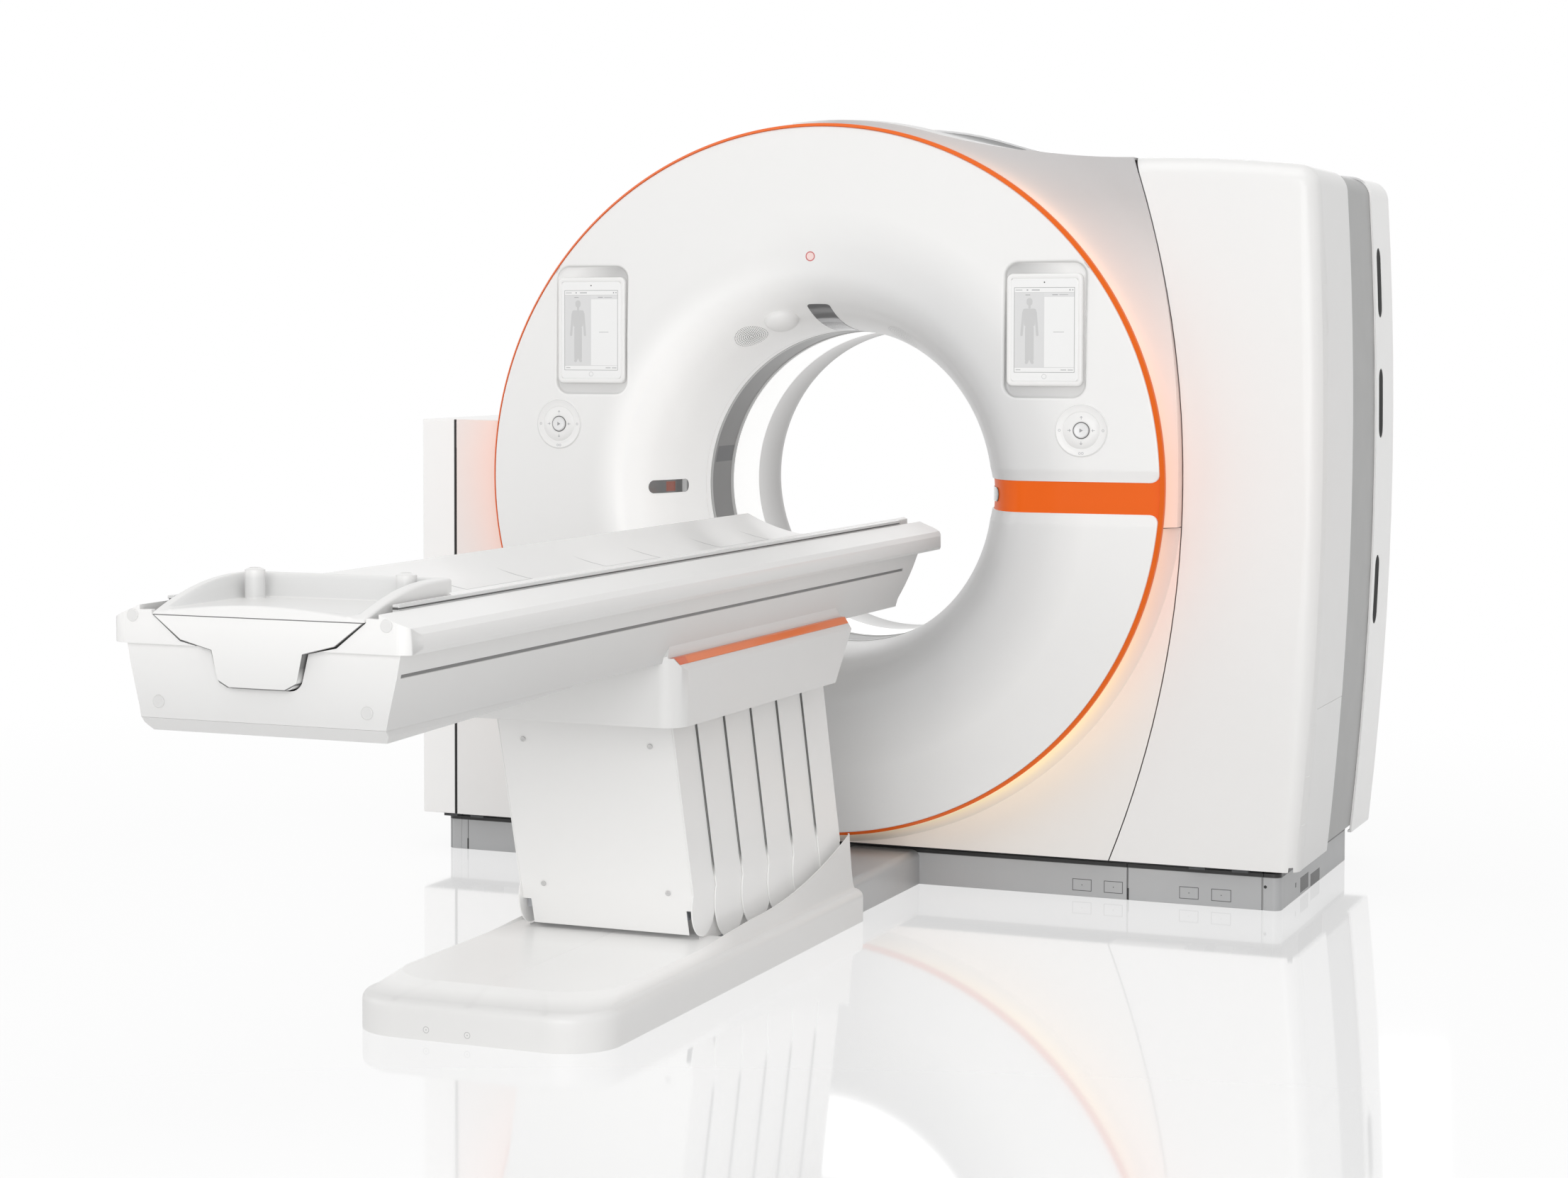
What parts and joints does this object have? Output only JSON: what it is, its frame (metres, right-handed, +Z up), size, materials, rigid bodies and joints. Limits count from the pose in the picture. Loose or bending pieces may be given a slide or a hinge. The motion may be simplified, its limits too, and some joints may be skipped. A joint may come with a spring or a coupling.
{
  "type": "ct scanner",
  "caption": "Hospital computed-tomography scanner: ring gantry with a wide patient tunnel, enclosed turning rotor, lifting patient table and sliding table board.",
  "frame": {"origin": "on the floor, straight below the middle of the scan plane on the tunnel axis", "axes": "+Y along the tunnel, away from the table; +X to the right when facing the gantry from the table; +Z up"},
  "size_m": [2.441, 3.756, 1.976],
  "materials": {
    "cover_white": "satin",
    "cover_grey": "satin",
    "rim_light": "glossy",
    "orange": "glossy",
    "smoked_window": "glossy",
    "grille_black": "matt",
    "tunnel_white": "satin",
    "tablet_body": "satin",
    "panel_grey": "satin",
    "button": "glossy",
    "plinth_grey": "satin",
    "frame_dark": "satin",
    "steel": "brushed",
    "aluminium": "satin",
    "inner_paint": "satin",
    "board": "satin"
  },
  "bodies": {
    "base": {"front_cover": "cover_white", "rim_light": "rim_light", "orange_band": "orange", "funnel_fittings": "smoked_window", "tablets": "tablet_body", "control_panels": "panel_grey", "tunnel_dark_ring": "smoked_window", "scan_window": "tunnel_white", "rear_ring": "cover_grey", "rear_flare": "cover_grey", "upper_shoulder_cover": "cover_white", "lower_shoulder_cover": "cover_white", "left_shoulder_cover": "cover_white", "roof_cover": "cover_grey", "right_side_cover": "cover_white", "right_service_panel": "cover_white", "right_mid_band": "cover_grey", "left_side_cover": "cover_white", "rear_cover": "cover_white", "vent_grilles": "grille_black", "base_frame": "frame_dark", "cover_posts": "frame_dark", "plinth_front_panels": "plinth_grey", "plinth_side_panels": "plinth_grey", "plinth_corner_posts": "plinth_grey", "stator_frame": "inner_paint", "table_plinth": "cover_white", "link_bearers": "steel", "connecting_duct": "plinth_grey"},
    "rotor": {"rotor_drum": "aluminium", "xray_tube": "inner_paint", "collimator": "aluminium", "detector_arc": "inner_paint", "high_voltage_generator": "inner_paint", "cooling_unit": "inner_paint"},
    "left_button": {"left_start_button": "button"},
    "right_button": {"right_start_button": "button"},
    "first_link": {"slat_1": "cover_white", "column_front_plate": "cover_white", "front_lift_arms": "inner_paint"},
    "second_link": {"slat_2": "cover_white"},
    "third_link": {"slat_3": "cover_white"},
    "fourth_link": {"slat_4": "cover_white"},
    "fifth_link": {"slat_5": "cover_white"},
    "sixth_link": {"slat_6": "cover_white", "rear_lift_arms": "inner_paint"},
    "carriage": {"saddle": "cover_white", "saddle_inlays": "orange", "table_trough": "cover_white", "trough_pan": "cover_white", "table_side_rails": "cover_white", "board_guides": "aluminium"},
    "board": {"table_board": "board", "accessory_rails": "aluminium", "foot_plug": "cover_white", "accessory_tray": "cover_white"}
  },
  "joints": [
    {"name": "rotor_spin", "type": "hinge", "parent": "base", "child": "rotor", "pos_m": [0, 0, 1.01], "axis": [0, 1, 0], "continuous": true},
    {"name": "left_start", "type": "slide", "parent": "base", "child": "left_button", "axis": [0, 1, 0], "range_m": [0, 0.0025], "stiffness_N_per_m": 400},
    {"name": "right_start", "type": "slide", "parent": "base", "child": "right_button", "axis": [0, 1, 0], "range_m": [0, 0.0025], "stiffness_N_per_m": 400},
    {"name": "table_lift", "type": "hinge", "parent": "base", "child": "first_link", "pos_m": [0, -1.784, 0.17], "axis": [-1, 0, 0], "range_deg": [-63, 0]},
    {"name": "second_link_swing", "type": "hinge", "parent": "base", "child": "second_link", "pos_m": [0, -1.636, 0.17], "axis": [-1, 0, 0], "range_deg": [-63, 0]},
    {"name": "third_link_swing", "type": "hinge", "parent": "base", "child": "third_link", "pos_m": [0, -1.488, 0.17], "axis": [-1, 0, 0], "range_deg": [-63, 0]},
    {"name": "fourth_link_swing", "type": "hinge", "parent": "base", "child": "fourth_link", "pos_m": [0, -1.34, 0.17], "axis": [-1, 0, 0], "range_deg": [-63, 0]},
    {"name": "fifth_link_swing", "type": "hinge", "parent": "base", "child": "fifth_link", "pos_m": [0, -1.192, 0.17], "axis": [-1, 0, 0], "range_deg": [-63, 0]},
    {"name": "sixth_link_swing", "type": "hinge", "parent": "base", "child": "sixth_link", "pos_m": [0, -1.044, 0.17], "axis": [-1, 0, 0], "range_deg": [-63, 0]},
    {"name": "carriage_level", "type": "hinge", "parent": "first_link", "child": "carriage", "pos_m": [0, -1.92311, 0.625], "axis": [-1, 0, 0], "range_deg": [0, 63]},
    {"name": "board_slide", "type": "slide", "parent": "carriage", "child": "board", "axis": [0, 1, 0], "range_m": [0, 1.7]}
  ],
  "couplings": [
    {"joint": "second_link_swing", "follows": "table_lift", "ratio": 1},
    {"joint": "third_link_swing", "follows": "table_lift", "ratio": 1},
    {"joint": "fourth_link_swing", "follows": "table_lift", "ratio": 1},
    {"joint": "fifth_link_swing", "follows": "table_lift", "ratio": 1},
    {"joint": "sixth_link_swing", "follows": "table_lift", "ratio": 1},
    {"joint": "carriage_level", "follows": "table_lift", "ratio": -1}
  ]
}
